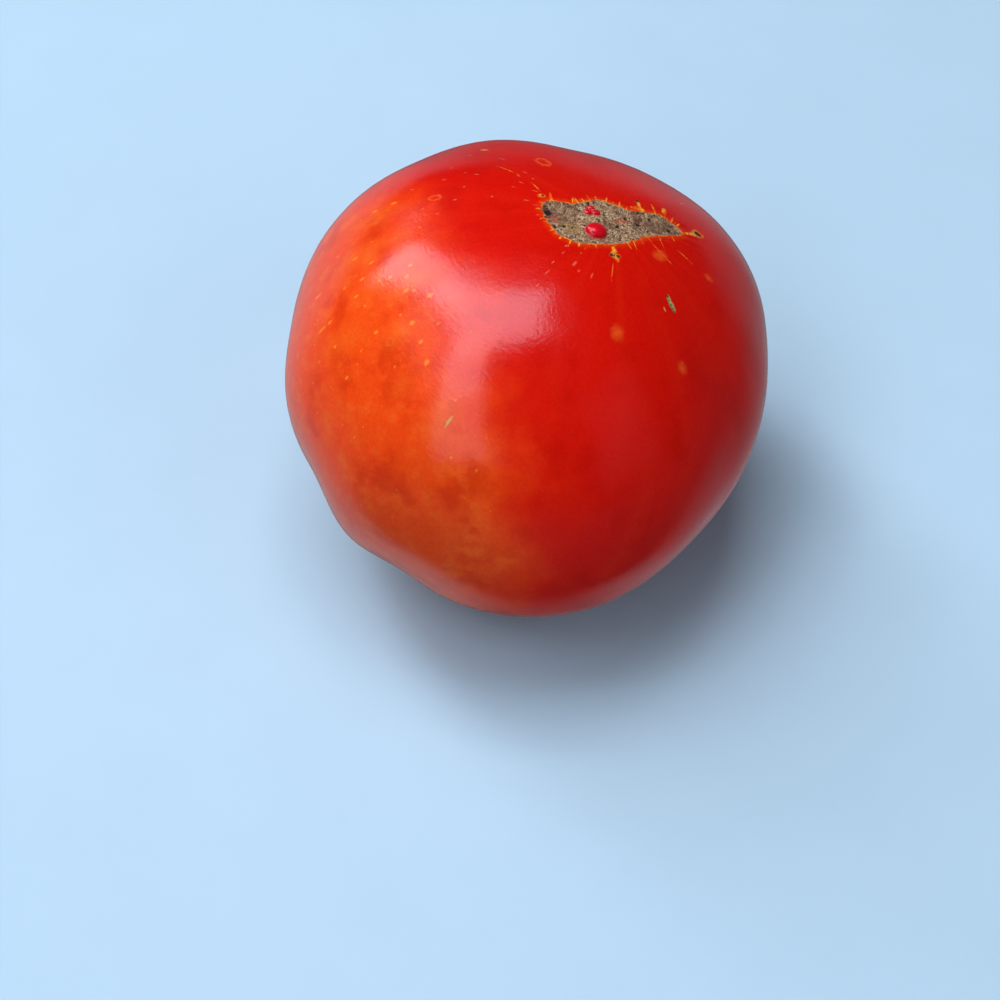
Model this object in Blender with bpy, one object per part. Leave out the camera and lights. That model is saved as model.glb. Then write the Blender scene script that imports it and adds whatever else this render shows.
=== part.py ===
# One whole ripe beefsteak tomato, resting blossom end up on a small flat spot.
# Metres, +Z up. The origin is the middle of the bounding box, on the surface that the fruit rests on.
# The fruit is one body: a flattened round swollen into uneven lobes, with furrows that run from
# the corky blossom scar on top to the stem hollow, which is low on the left beside the flat spot.

import math

import bmesh
import bpy
import numpy as np

# Main sizes of the fruit
FRUIT_RADIUS = 0.0542
HEIGHT_RATIO = 0.80
BODY_TILT = 8.4
BODY_TILT_TOWARDS = 3.0
SHOULDER_FULLNESS = 0.70
FLAT_SPOT_DEPTH = 0.0005

# Blossom end: how far its axis leans, and which way
BLOSSOM_TILT = 22.5
BLOSSOM_TILT_TOWARDS = 12.0
# The stem end is turned this much further from the blossom end's axis
STEM_TURN = 15.0

# Broad swellings: how many round the fruit, share of the radius, direction of the first
SWELLINGS = [(1, 0.0123, 183.0), (2, 0.0190, 80.0), (3, 0.0147, 23.0), (4, 0.0163, 30.0)]
SWELLINGS_FADE = 1.5

# Furrows between the lobes: direction round the blossom end, depth, half width in degrees.
# They deepen from the start to the full angle, and again over the shoulder.
FURROWS = [
    (4.0, 0.0008, 14.0),
    (54.0, 0.0004, 12.0),
    (96.0, 0.0007, 11.0),
    (134.0, 0.0013, 12.5),
    (177.0, 0.0006, 12.0),
    (216.0, 0.0009, 14.0),
    (258.0, 0.0009, 14.0),
    (318.0, 0.0009, 14.0),
]
FURROW_STARTS = 20.0
FURROW_FULL = 77.0
FURROW_SHOULDER_STARTS = 105.0
FURROW_SHOULDER_FULL = 160.0
FURROW_SHOULDER_GAIN = 1.8

# The low swelling that the fruit lies on, under its weight, with the furrows pressed out of it
RESTING_SWELL = 0.0026
RESTING_HALF_WIDTH = 24.0
RESTING_LEAN = (-0.15, -0.10)

# Stem hollow and the dry scar at the bottom of it
HOLLOW_DEPTH = 0.0110
HOLLOW_HALF_WIDTH = 17.0
HOLLOW_STEEPNESS = 2.2
STEM_SCAR_HALF_WIDTH = 7.5
STEM_SCAR_RIM = 1.5
STEM_SCAR_HEIGHT = 0.0008

# Corky blossom scar: a long patch that tapers to the right
SCAR_ARC = 0.0440
SCAR_TURN = 6.0
SCAR_STRETCH = 1.4
SCAR_STRETCH_FADES = 0.020
SCAR_SINK = 0.0006
# Shares of the way out to the scar's edge: the bank down to the cork, the lip's crest and half width
SCAR_BANK = 0.14
SCAR_LIP_CREST = 1.1
SCAR_LIP_HALF_WIDTH = 0.09
SCAR_LIP = 0.00025
# Angle round the scar's middle and size of its outline there, in the stretched scale of scar_point
SCAR_OUTLINE = [
    (0.0, 0.0046), (10.0, 0.0057), (22.0, 0.0082), (40.0, 0.0082), (50.0, 0.0082), (58.0, 0.0065),
    (69.0, 0.0051), (83.0, 0.0058), (99.0, 0.0069), (110.0, 0.0062), (126.0, 0.0058), (137.0, 0.0080),
    (147.0, 0.0078), (167.0, 0.0065), (182.0, 0.0061), (205.0, 0.0064), (226.0, 0.0074), (243.0, 0.0078),
    (257.0, 0.0066), (278.0, 0.0051), (291.0, 0.0043), (323.0, 0.0034), (344.0, 0.0038),
]

# Red beads that stand through the cork: place along and across the scar, half length, half width, height
BEADS = [(-0.0037, -0.0027, 0.0023, 0.0020, 0.0014), (-0.0039, 0.0033, 0.0016, 0.0013, 0.0009)]
BEAD_ROUNDNESS = 0.6

# Mesh: rings across the scar, over the skin, in the stem hollow, and steps round
SCAR_RINGS = 11
SKIN_RINGS = 28
HOLLOW_RINGS = 12
STEPS_ROUND = 72
# More than one draws the skin's rings towards the scar
RING_CROWDING = 1.25
# The hollow's rings start at this many of its half widths
HOLLOW_RINGS_START = 1.6

SHARP_ANGLE = 40.0
SKIN_COLOUR = (0.62, 0.016, 0.006)
SKIN_ROUGHNESS = 0.28


def ease(x):
    x = np.clip(x, 0.0, 1.0)
    return x * x * (3.0 - 2.0 * x)


def tilted_axes(tilt, towards):
    """Three square axes: the last leans by tilt from straight up, the first stays as near +X as it can."""
    tilt, towards = math.radians(tilt), math.radians(towards)
    axis = np.array([
        math.sin(tilt) * math.cos(towards),
        math.sin(tilt) * math.sin(towards),
        math.cos(tilt),
    ])
    side = np.array([1.0, 0.0, 0.0]) - axis[0] * axis
    side /= np.linalg.norm(side)
    return side, np.cross(axis, side), axis


def fruit_direction(polar, around):
    """Unit directions at an angle from the blossom end and round it, in radians."""
    side, across, axis = tilted_axes(BLOSSOM_TILT, BLOSSOM_TILT_TOWARDS)
    turn = math.radians(STEM_TURN) * ease((1.0 - np.cos(polar)) / 2.0)
    x = np.sin(polar) * np.cos(around)
    y = np.sin(polar) * np.sin(around)
    z = np.cos(polar)
    turned_x = x * np.cos(turn) + z * np.sin(turn)
    turned_z = z * np.cos(turn) - x * np.sin(turn)
    return turned_x[..., None] * side + y[..., None] * across + turned_z[..., None] * axis


def body_radius(direction):
    """Distance from the middle to the smooth body: a flattened round with broad swellings."""
    side, across, axis = tilted_axes(BODY_TILT, BODY_TILT_TOWARDS)
    height = direction @ axis
    level = np.sqrt(np.maximum(1.0 - height * height, 0.0))
    around = np.arctan2(direction @ across, direction @ side)
    power = 2.0 + SHOULDER_FULLNESS * ease(-height)
    flat = (level / FRUIT_RADIUS) ** power + (np.abs(height) / (FRUIT_RADIUS * HEIGHT_RATIO)) ** power
    swell = sum(share * np.cos(count * (around - math.radians(start))) for count, share, start in SWELLINGS)
    return flat ** (-1.0 / power) * (1.0 + swell * level ** SWELLINGS_FADE)


def resting_lobe(direction):
    """1 in the middle of the swelling that the fruit lies on, fading to 0 beyond it."""
    middle = np.array([*RESTING_LEAN, -1.0])
    off = np.arccos(np.clip(direction @ middle / np.linalg.norm(middle), -1.0, 1.0))
    return np.exp(-((off / math.radians(RESTING_HALF_WIDTH)) ** 2))


def furrow_depth(polar, around):
    """Furrows deepen from the blossom scar to the shoulders, and run out at the stem scar."""
    from_blossom = np.degrees(polar)
    reach = ease((from_blossom - FURROW_STARTS) / (FURROW_FULL - FURROW_STARTS))
    over = ease((from_blossom - FURROW_SHOULDER_STARTS) / (FURROW_SHOULDER_FULL - FURROW_SHOULDER_STARTS))
    shoulder = 1.0 + FURROW_SHOULDER_GAIN * over
    run_out = ease((180.0 - from_blossom - STEM_SCAR_HALF_WIDTH) / HOLLOW_HALF_WIDTH)
    depth = np.zeros_like(around)
    for middle, deep, half_width in FURROWS:
        off = (around - math.radians(middle) + math.pi) % (2.0 * math.pi) - math.pi
        depth = depth + deep * np.exp(-((off / math.radians(half_width)) ** 2))
    return depth * reach * shoulder * run_out


def stem_hollow(polar):
    """Depth of the funnel round the stem end, with the raised dry scar at its bottom."""
    from_stem = 180.0 - np.degrees(polar)
    funnel = HOLLOW_DEPTH * np.exp(-((from_stem / HOLLOW_HALF_WIDTH) ** HOLLOW_STEEPNESS))
    scar = STEM_SCAR_HEIGHT * ease((STEM_SCAR_HALF_WIDTH - from_stem) / STEM_SCAR_RIM)
    return funnel - scar


def scar_edge(around):
    """The scar outline's size at an angle round its middle, in the stretched scale of scar_point."""
    angles = [angle for angle, size in SCAR_OUTLINE]
    sizes = [size for angle, size in SCAR_OUTLINE]
    return np.interp(np.degrees(around), angles, sizes, period=360.0)


def scar_point(size, around):
    """Place along and across the scar. Small rings are long ovals, and wide ones are round."""
    stretch = 1.0 + SCAR_STRETCH * np.exp(-((size / SCAR_STRETCH_FADES) ** 2))
    return size * stretch * np.cos(around), size * np.sin(around)


def scar_relief(size, around):
    """Height over the smooth body: sunken cork, the low lip round it, and the beads."""
    along, across = scar_point(size, around)
    share = size / scar_edge(around)
    relief = -SCAR_SINK * ease((1.0 - share) / SCAR_BANK)
    relief = relief + SCAR_LIP * np.exp(-(((share - SCAR_LIP_CREST) / SCAR_LIP_HALF_WIDTH) ** 2))
    for middle_along, middle_across, half_length, half_width, height in BEADS:
        off = ((along - middle_along) / half_length) ** 2 + ((across - middle_across) / half_width) ** 2
        relief = relief + height * np.maximum(1.0 - off, 0.0) ** BEAD_ROUNDNESS
    return relief


def fruit_surface(size, around):
    """Points of the fruit's surface at a distance from the scar's middle and round it."""
    along, across = scar_point(size, around)
    polar = np.minimum(np.hypot(along, across) / SCAR_ARC, math.pi)
    turned = np.arctan2(across, along) + math.radians(SCAR_TURN)
    direction = fruit_direction(polar, turned)
    resting = resting_lobe(direction)
    radius = body_radius(direction) + RESTING_SWELL * resting - stem_hollow(polar)
    radius = radius - furrow_depth(polar, turned) * (1.0 - resting) + scar_relief(size, around)
    return direction * radius[..., None]


def ring_sizes(around):
    """Sizes of the rings at each step round: they follow the scar's edge, then widen to circles."""
    edge = scar_edge(around)
    end = SCAR_ARC * math.pi
    inside = np.linspace(0.0, 1.0, SCAR_RINGS + 1)[1:, None] * edge
    hollow_start = end - SCAR_ARC * math.radians(HOLLOW_HALF_WIDTH * HOLLOW_RINGS_START)
    steps = np.linspace(0.0, 1.0, SKIN_RINGS + 1)[1:, None] ** RING_CROWDING
    skin = edge * (1.0 - steps) + hollow_start * steps
    hollow = np.linspace(hollow_start, end, HOLLOW_RINGS + 1)[1:-1, None] + 0.0 * edge
    return np.concatenate([inside, skin, hollow])


def closed_rings(rings, first, last):
    """A mesh from rings of points, closed by a fan at each end."""
    shape = bmesh.new()
    loops = [[shape.verts.new(point) for point in ring] for ring in rings]
    for upper, lower in zip(loops, loops[1:]):
        for k in range(len(upper)):
            after = (k + 1) % len(upper)
            shape.faces.new((upper[k], lower[k], lower[after], upper[after]))
    top, bottom = shape.verts.new(first), shape.verts.new(last)
    for k in range(len(loops[0])):
        after = (k + 1) % len(loops[0])
        shape.faces.new((top, loops[0][k], loops[0][after]))
        shape.faces.new((bottom, loops[-1][after], loops[-1][k]))
    return shape


def cut_flat_spot(shape):
    """Cuts the lowest skin off level and closes the cut with one flat face."""
    every = shape.verts[:] + shape.edges[:] + shape.faces[:]
    cut = bmesh.ops.bisect_plane(
        shape, geom=every, plane_co=(0.0, 0.0, 0.0), plane_no=(0.0, 0.0, 1.0), clear_inner=True
    )
    rim = [item for item in cut["geom_cut"] if isinstance(item, bmesh.types.BMEdge)]
    bmesh.ops.edgeloop_fill(shape, edges=rim)


def plain_material(name, colour, roughness):
    material = bpy.data.materials.new(name)
    material.use_nodes = True
    shader = material.node_tree.nodes["Principled BSDF"]
    shader.inputs["Base Color"].default_value = (*colour, 1.0)
    shader.inputs["Roughness"].default_value = roughness
    shader.inputs["Metallic"].default_value = 0.0
    return material


def build_tomato():
    around = np.radians(np.arange(STEPS_ROUND) * 360.0 / STEPS_ROUND)
    sizes = ring_sizes(around)
    points = fruit_surface(sizes, np.broadcast_to(around, sizes.shape))
    ends = fruit_surface(np.array([0.0, SCAR_ARC * math.pi]), np.zeros(2))
    low = points.reshape(-1, 3).min(axis=0)
    high = points.reshape(-1, 3).max(axis=0)
    base = np.array([(low[0] + high[0]) / 2.0, (low[1] + high[1]) / 2.0, low[2] + FLAT_SPOT_DEPTH])
    shape = closed_rings(points - base, ends[0] - base, ends[1] - base)
    cut_flat_spot(shape)
    bmesh.ops.recalc_face_normals(shape, faces=shape.faces[:])
    mesh = bpy.data.meshes.new("tomato_fruit")
    shape.to_mesh(mesh)
    shape.free()
    mesh.shade_smooth()
    mesh.set_sharp_from_angle(angle=math.radians(SHARP_ANGLE))
    mesh.materials.append(plain_material("ripe_skin", SKIN_COLOUR, SKIN_ROUGHNESS))
    fruit = bpy.data.objects.new("tomato_fruit", mesh)
    bpy.context.scene.collection.objects.link(fruit)


for old in list(bpy.data.objects):
    bpy.data.objects.remove(old, do_unlink=True)
build_tomato()
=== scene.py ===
import math

import bpy
import numpy as np
from mathutils import Matrix, Vector


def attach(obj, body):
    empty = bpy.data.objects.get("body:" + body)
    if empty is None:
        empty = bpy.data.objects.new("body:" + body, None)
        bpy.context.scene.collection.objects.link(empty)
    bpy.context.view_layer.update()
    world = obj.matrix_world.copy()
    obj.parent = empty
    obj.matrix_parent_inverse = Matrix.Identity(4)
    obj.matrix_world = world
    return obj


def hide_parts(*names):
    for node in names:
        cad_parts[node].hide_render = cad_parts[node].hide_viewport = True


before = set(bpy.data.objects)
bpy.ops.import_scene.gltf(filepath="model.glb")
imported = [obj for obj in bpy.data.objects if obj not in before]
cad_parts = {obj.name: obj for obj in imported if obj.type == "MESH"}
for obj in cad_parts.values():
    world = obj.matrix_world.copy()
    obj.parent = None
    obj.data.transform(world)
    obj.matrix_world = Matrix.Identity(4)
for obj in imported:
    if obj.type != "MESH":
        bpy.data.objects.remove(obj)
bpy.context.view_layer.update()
print("frame loaded")

perMetre = 1000.0      # millimetres in a metre, so also the noise scale for clouds a millimetre wide

# The body, in metres and degrees: the same shape as the solid one, with a finer skin
fruitShape = {
    "radius": 0.0542,
    "heightRatio": 0.80,
    "bodyTilt": (8.4, 3.0),            # lean of the flattened body, and which way it leans
    "blossomTilt": (22.5, 12.0),       # lean of the blossom end, and which way
    "stemTurn": 15.0,                  # the stem end is turned this much further
    "shoulderFullness": 0.70,          # how much squarer than an ellipse the lower half is
    "swellings": [                     # waves round the fruit, share of its radius, first crest
        (1, 0.0123, 183), (2, 0.0190, 80), (3, 0.0147, 23), (4, 0.0163, 30),
    ],
    "swellingsFade": 1.5,              # how fast they fade towards the two ends
    "furrows": [                       # direction round the fruit, depth, half width
        (4, 0.0008, 14), (54, 0.0004, 12), (96, 0.0007, 11), (134, 0.0013, 12.5), (177, 0.0006, 12),
        (216, 0.0009, 14), (258, 0.0009, 14), (318, 0.0009, 14),
    ],
    "furrowReach": (20, 77),           # the furrows deepen between these angles from the blossom end
    "furrowShoulder": (105, 160),      # and deepen again over the shoulder
    "furrowShoulderGain": 1.8,
    "furrowRunOut": 172.5,             # they are gone from here on
    "restingSwell": 0.0026,            # the fruit bulges a little round the spot that it rests on
    "restingHalfWidth": 24,
    "restingLean": (-0.15, -0.10),     # that spot's direction, for one downwards
    "flatSpotDepth": 0.0005,
    "hollowDepth": 0.0110,
    "hollowHalfWidth": 17,
    "hollowSteepness": 2.2,
    "segments": 100,                   # steps round, and rings from pole to pole, before subdividing
    "rings": 60,
    "scarRings": 15,
    "hollowRings": 7,
    "hollowRingsStart": 1.6,           # in half widths of the hollow, from the stem end
    "ringCrowding": 1.25,              # more than one draws the skin's rings towards the scar
    "subdivisions": 2,
}

# The blossom scar: metres down to its raggedness, millimetres below that
scarShape = {
    "arc": 0.0440,                     # distance over the skin for one radian from the blossom end
    "turn": 6,                         # degrees that its long axis is turned round the blossom end
    "stretch": 1.4,                    # added to its length, fading this far out into the skin
    "stretchFades": 0.020,
    "outline": [                       # angle round the scar's middle, size of the outline there
        (0, 0.0046), (10, 0.0057), (22, 0.0082), (40, 0.0082), (50, 0.0082), (58, 0.0065),
        (69, 0.0051), (83, 0.0058), (99, 0.0069), (110, 0.0062), (126, 0.0058), (137, 0.0080),
        (147, 0.0078), (167, 0.0065), (182, 0.0061), (205, 0.0064), (226, 0.0074), (243, 0.0078),
        (257, 0.0066), (278, 0.0051), (291, 0.0043), (323, 0.0034), (344, 0.0038),
    ],
    "raggedness": [                    # small waves round the edge: how many, size, start
        (23, 0.000055, 1.0), (41, 0.000033, 2.2), (67, 0.000033, 0.0),
    ],
    "gapMeasured": 30.0,               # farther than this from the blossom end the gap to the scar
    "gapFarOff": 15.0,                 # isn't worked out, and counts as this
    "sink": 0.45,
    "brim": 0.8,                       # the cork drops to its depth over this width
    "beads": [                         # along, across, half length, half width, height
        (-3.6, -2.5, 2.35, 2.05, 1.25),
        (-4.0, 4.1, 0.85, 1.00, 0.48), (-4.75, 3.1, 0.90, 0.80, 0.40), (-3.1, 3.0, 1.05, 0.75, 0.40),
    ],
    "beadRoundness": 0.6,
    "moat": 0.18,                      # depth of the groove round a bead, then its place and width
    "moatPlace": 1.12,                 # in shares of the bead's size
    "moatHalfWidth": 0.16,
    "pits": [                          # along, across, radius, depth
        (-13.4, 2.6, 1.00, 0.60), (3.6, 2.8, 0.50, 0.50), (1.4, -0.2, 0.55, 0.45), (6.5, 2.1, 0.60, 0.50),
        (13.8, 3.1, 0.55, 0.45), (-6.7, 3.3, 0.38, 0.30), (-1.3, 2.7, 0.36, 0.30),
        (-10.3, -1.6, 0.55, 0.40), (-12.5, -2.1, 0.50, 0.35), (-14.3, 0.3, 0.50, 0.40),
        (-2.6, 0.7, 0.42, 0.25), (-4.3, 5.7, 0.40, 0.25), (12.6, 6.8, 0.40, 0.25),
        (6.4, -2.8, 0.55, 0.35), (-8.6, -2.0, 0.35, 0.25), (9.3, 4.3, 0.32, 0.25),
    ],
    "pitMargin": 0.4,                  # pits and dips run out this far past the scar's edge
    "pitShadeShare": (0.85, 0.75),           # how much of a pit's radius gets painted shade, along and across
    "dips": [                          # broad low places in the cork
        (-11.2, 1.6, 2.6, 0.50), (-8.2, -0.8, 2.2, 0.25), (6.6, 1.6, 1.9, 0.35), (12.0, 3.0, 2.0, 0.20),
    ],
    "specks": [                        # dark corky dots that stand apart: along, across, half sizes
        (7.0, 9.2, 0.48, 0.45), (20.6, 5.5, 0.95, 0.60), (-0.8, -8.8, 0.48, 0.42), (0.7, -8.8, 0.48, 0.42),
        (11.8, -0.6, 0.35, 0.22), (-13.9, 7.2, 0.40, 0.35),
    ],
    "speckDepth": 0.25,
    "slit": (12.6, -16.6, 1.9, 0.50, -63),    # along, across, half length, half width, turn
    "slitDepth": 0.22,
    "spikes": [                        # angle round the scar, length past its edge and half width
        (136, 2.3, 0.31), (145, 0.9, 0.17), (157, 0.9, 0.20), (176, 1.2, 0.12), (190, 0.7, 0.12),
        (211, 0.9, 0.20), (219, 0.6, 0.12), (226, 1.0, 0.20), (236, 1.6, 0.12), (243, 0.9, 0.20),
        (254, 0.9, 0.17), (261, 0.7, 0.11), (285, 1.6, 0.11), (296, 2.0, 0.09), (312, 1.4, 0.09),
        (333, 1.4, 0.14), (357, 3.4, 0.12), (12, 1.6, 0.16), (24, 3.2, 0.19), (33, 1.4, 0.16),
        (39, 1.8, 0.19), (46, 1.0, 0.14), (52, 2.6, 0.23), (58, 1.4, 0.12), (72, 1.1, 0.16),
        (80, 1.5, 0.16), (86, 0.9, 0.09), (92, 1.7, 0.17), (99, 1.1, 0.11), (105, 2.1, 0.11),
        (112, 0.9, 0.12), (119, 1.4, 0.16), (126, 2.1, 0.12),
    ],
    "edgeStep": 0.06,                  # radians to each side, to find which way a spike points
    "spikeMiddle": 0.4,                # shares of a spike's length
    "spikeHalfLength": 0.75,
    "edgePits": (18, 33, 47, 61, 76, 89, 103, 117, 132, 149, 171, 199, 228, 262, 301, 331, 352),
    "edgePitPlace": 0.93,              # share of the way out to the edge
    "edgePitRadius": (0.26, 0.20),
    "puckers": 0.05,                   # height of the creases that run out from the scar
    "puckerReach": 2.6,
    "puckerCount": 27,
    "puckerSway": (0.6, 5),            # how far their crests are swayed, and how many times
}

# The stem end: degrees from its middle, and heights in metres
stemEnd = {
    "ridgeCount": 11,
    "ridgeSway": (1.2, 3),
    "ridgePlace": 15.0,
    "ridgeHalfWidth": 7.0,
    "ridgeHeight": 0.00022,
    "scarRadius": 7.5,
    "scarWaves": (9, 0.7),             # how many round its edge, and their size
    "scarRim": 1.5,
    "crackCount": 6,
    "crackSway": (0.8, 4),
    "crackSharpness": 0.5,
    "cracksFull": 4.0,                 # they are at their full depth this far out
    "scarHeight": 0.0008,
    "plugRadius": 2.6,                 # a low knob in the middle
    "plugSteepness": 4,
    "plugHeight": 0.0006,
}

# Marks on the skin and in the cork: millimetres along and across from the blossom end, half length,
# half width, and a turn in degrees where it isn't the meridian's
marks = {
    "goldFlecks": [
        (-43.9, -22.2, 0.6, 0.56), (-45.1, -13.9, 0.65, 0.43), (-39.7, -16.9, 0.71, 0.49),
        (-48.5, -8.7, 0.43, 0.37), (-55.6, -5.0, 0.65, 0.37), (-57.2, -9.5, 0.54, 0.31),
        (-53.1, -1.1, 0.65, 0.37), (-57.5, 4.2, 0.79, 0.37), (-65.1, -12.2, 0.65, 0.43),
        (-69.4, 0.9, 1, 0.49), (-45.6, 16.9, 0.79, 0.31), (-50.4, 18.2, 0.71, 0.31),
        (-43.8, -7.4, 0.49, 0.37), (-41.9, -27.1, 0.49, 0.37), (-63.8, -20.0, 0.49, 0.37),
        (-60.7, -29.5, 0.49, 0.37), (-40.4, -31.9, 0.65, 0.49), (-33.0, -51.5, 0.27, 0.25),
        (-33.4, -40.4, 0.27, 0.25), (-52.5, -21.5, 0.49, 0.31),
    ],
    "faintFlecks": [
        (-43.2, -14.6, 0.32, 0.33), (-51.3, -8.3, 0.37, 0.33), (-67.8, -12.6, 1.1, 0.45),
        (-44.6, -10.2, 0.43, 0.45), (-46.5, -19.5, 0.27, 0.26), (-55.0, -13.5, 0.32, 0.26),
        (-60.5, -4.5, 0.49, 0.33), (-38.0, -24.0, 0.32, 0.26), (-56.5, -24.5, 0.32, 0.26),
        (-48.0, -31.0, 0.27, 0.26), (-41.0, 4.0, 0.27, 0.2), (-62.5, 10.5, 0.54, 0.26),
    ],
    "paleDashes": [
        (-40.7, 18.9, 0.54, 0.13), (-36.7, 6.7, 0.34, 0.18), (-31.0, 22.4, 0.34, 0.13),
        (-33.4, 18.0, 0.48, 0.16), (-26.4, 16.9, 0.54, 0.13), (-29.7, 13.2, 0.27, 0.16),
        (-32.3, 9.6, 0.41, 0.16), (-17.9, 14.5, 0.41, 0.13), (-17.8, 11.8, 0.54, 0.1),
        (-25.8, 28.2, 0.34, 0.16), (-19.8, 23.0, 0.82, 0.1), (-17.6, 5.6, 0.48, 0.13),
        (-15.8, 0.9, 0.41, 0.1), (-15.3, 8.6, 0.61, 0.1), (-10.6, -8.0, 0.31, 0.18),
        (-13.6, -12.4, 0.41, 0.16), (-9.1, -12.5, 0.61, 0.26), (-5.6, -15.1, 0.61, 0.16),
        (18.6, 14.7, 0.61, 0.21), (-39.6, 10.1, 0.27, 0.16), (-24.5, 8.0, 0.24, 0.16),
    ],
    "faintDashes": [
        (-28.6, 18.6, 0.34, 0.11), (-16.2, 15.9, 0.54, 0.14), (-15.1, 13.2, 0.27, 0.22),
        (-19.6, 10.4, 0.41, 0.11), (-15.9, 4.0, 0.48, 0.11), (-11.4, -9.9, 0.41, 0.11),
        (-14.9, -14.9, 0.82, 0.14), (-8.3, -14.2, 0.34, 0.22), (-35.4, 12.9, 0.27, 0.14),
        (-17.0, -18.0, 0.68, 0.11),
    ],
    "hairlines": [
        (-14.8, 10.0, 3.2, 0.16, 113), (-19.4, 16.8, 3.8, 0.14, 130), (11.0, -5.0, 3.4, 0.18, -38),
        (16.5, -3.2, 2.6, 0.16, -28), (-1.0, -13.0, 3.0, 0.12, -98), (-7.5, -9.5, 2.4, 0.10, -125),
    ],
    "ringSpots": [(-36.4, 12.4, 1.3, 0.8), (-49.1, -25.0, 0.9, 0.8), (-11.3, 21.0, 1.7, 1.2)],
    "haloSpots": [
        (-0.3, -26.7, 1.25, 1.1), (10.4, -5.6, 1.5, 1.1, 20), (22.4, -5.6, 0.9, 0.6),
        (15.3, -29.1, 0.9, 0.9),
    ],
    "smears": [
        (-22.1, 30.6, 0.9, 0.4, 150), (-34.5, -44.4, 1.3, 0.28), (10.9, -18.5, 0.5, 0.16, -60),
    ],
    "slit": [(12.6, -16.6, 2.0, 0.62, -63)],
    "slitSpots": [
        (11.8, -15.1, 0.30, 0.28, -63), (12.7, -16.8, 0.35, 0.2, -63), (13.3, -18.1, 0.35, 0.24, -63),
    ],
    "slitGlint": [(12.6, -16.5, 1.4, 0.20, -63)],
    "halos": [                          # orange round the specks that stand apart, and lines that join them
        (7.0, 8.1, 0.35, 1.5, 0), (6.6, 6.3, 1.4, 0.6, 0), (18.0, 3.9, 1.9, 0.28, 26),
        (20.6, 5.5, 1.4, 0.95, 10), (-0.2, -7.4, 0.5, 1.1, 0), (-0.1, -8.8, 1.15, 0.7, 0),
        (0.4, -10.0, 0.35, 0.4, 0), (12.8, 8.0, 0.6, 1.1, -20), (-14.2, 7.0, 0.8, 0.6, 0),
    ],
    "specks": [speck + (0,) for speck in scarShape["specks"]],
    "beads": [bead[:4] + (0,) for bead in scarShape["beads"]],
    "pits": [
        (x, y, *(share * radius for share in scarShape["pitShadeShare"]), 0)
        for x, y, radius, depth in scarShape["pits"]
    ],
    "olive": [
        (-10.1, -1.0, 1.0, 0.50, 0), (-9.1, -2.4, 1.2, 0.45, 20), (-10.2, -3.4, 0.7, 0.35, 0),
        (-7.5, -2.9, 0.8, 0.45, 0), (-8.3, -1.2, 0.7, 0.40, -20),
    ],
    "redFlesh": [
        (1.4, 1.2, 0.6, 0.30, 10), (2.6, 1.6, 0.45, 0.32, 0), (3.8, 2.0, 0.55, 0.32, 0),
        (-13.1, 1.4, 0.5, 0.4, 0), (-11.7, 0.8, 0.45, 0.4, 0), (-12.3, -0.3, 0.6, 0.25, -30),
        (10.8, -0.2, 0.5, 0.3, 0),
    ],
    "lobeGlint": [(-3.9, 3.4, 0.30, 0.22, 0)],
    "thorns": [],                       # worked out from the scar's spikes and edge pits
    "edgePits": [],
}
patches = {                             # broad soft places, in the same millimetres
    "goldPatches": [
        (-46.3, -35.7, 2.8, 2.2), (-47.5, -24.0, 4.2, 3.0), (-52.0, -9.0, 5.5, 4.0),
        (-44.0, -12.5, 5.0, 3.0), (-57.0, 4.0, 6.5, 3.5), (-60.0, -20.0, 5.5, 4.0),
        (-36.0, -44.0, 4.5, 3.0), (-50.0, 16.0, 5.0, 2.2),
    ],
    "brownCork": [
        (-12.8, 2.2, 3.0, 2.3, 0), (-10.8, 0.6, 2.4, 1.5, 20), (8.4, 2.6, 2.2, 1.4, 0),
        (12.8, 3.6, 2.4, 1.3, 10), (10.4, 1.2, 2.0, 1.0, 0), (6.4, 3.4, 1.4, 1.0, 0),
        (15.2, 2.8, 1.4, 0.9, 0),
    ],
}


def ease(x):
    x = np.clip(x, 0.0, 1.0)
    return x * x * (3.0 - 2.0 * x)


def tiltedAxes(tilt, towards):
    tilt, towards = math.radians(tilt), math.radians(towards)
    axis = np.array([
        math.sin(tilt) * math.cos(towards), math.sin(tilt) * math.sin(towards), math.cos(tilt),
    ])
    side = np.array([1.0, 0.0, 0.0]) - axis[0] * axis
    side /= np.linalg.norm(side)
    return side, np.cross(axis, side), axis


def fruitDirection(polar, around):
    side, across, axis = tiltedAxes(*fruitShape["blossomTilt"])
    turn = math.radians(fruitShape["stemTurn"]) * ease((1.0 - np.cos(polar)) / 2.0)
    x, y, z = np.sin(polar) * np.cos(around), np.sin(polar) * np.sin(around), np.cos(polar)
    turnedX = x * np.cos(turn) + z * np.sin(turn)
    turnedZ = z * np.cos(turn) - x * np.sin(turn)
    return turnedX[..., None] * side + y[..., None] * across + turnedZ[..., None] * axis


def bodyRadius(direction):
    side, across, axis = tiltedAxes(*fruitShape["bodyTilt"])
    height = direction @ axis
    level = np.sqrt(np.maximum(1.0 - height * height, 0.0))
    around = np.arctan2(direction @ across, direction @ side)
    power = 2.0 + fruitShape["shoulderFullness"] * ease(-height)      # two makes an ellipse
    wide, tall = fruitShape["radius"], fruitShape["radius"] * fruitShape["heightRatio"]
    flat = (level / wide) ** power + (np.abs(height) / tall) ** power
    swell = sum(
        share * np.cos(count * (around - math.radians(start)))
        for count, share, start in fruitShape["swellings"]
    )
    return flat ** (-1.0 / power) * (1.0 + swell * level ** fruitShape["swellingsFade"])


def restingLobe(direction):
    middle = np.array([*fruitShape["restingLean"], -1.0])
    off = np.arccos(np.clip(direction @ middle / np.linalg.norm(middle), -1.0, 1.0))
    return np.exp(-((off / math.radians(fruitShape["restingHalfWidth"])) ** 2))


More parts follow.
